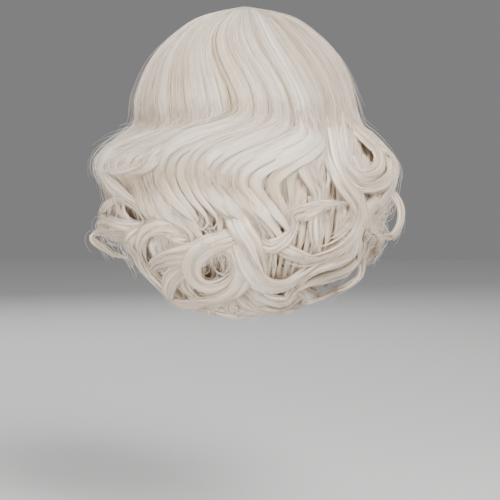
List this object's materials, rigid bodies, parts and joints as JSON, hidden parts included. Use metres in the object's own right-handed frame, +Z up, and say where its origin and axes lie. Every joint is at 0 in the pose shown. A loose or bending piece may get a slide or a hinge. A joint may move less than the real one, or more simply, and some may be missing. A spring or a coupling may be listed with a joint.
{
  "type": "curly wig",
  "caption": "Short curly wig with a waved crown and curled sections that hang round an open stretch cap.",
  "frame": {"origin": "inside top of the cap, where it rests on the crown of a head", "axes": "+Z up out of the crown, the wearer faces -Y, the wearer's left is +X"},
  "size_m": [0.2753, 0.2362, 0.2634],
  "materials": {
    "hair": "fine off-white synthetic hair with a soft satin shine along the strands",
    "net": "plain knitted stretch net",
    "tape": "plain woven elastic tape"
  },
  "bodies": {
    "root": {"cap_middle": "net", "cap_left": "net", "cap_right": "net", "rim_band": "tape", "nape_strap": "tape", "crown_back": "hair", "crown_left": "hair", "crown_right": "hair", "fringe_left": "hair", "fringe_right": "hair", "middle_left": "hair", "middle_back": "hair", "middle_right": "hair", "nape_curls": "hair"}
  },
  "joints": []
}
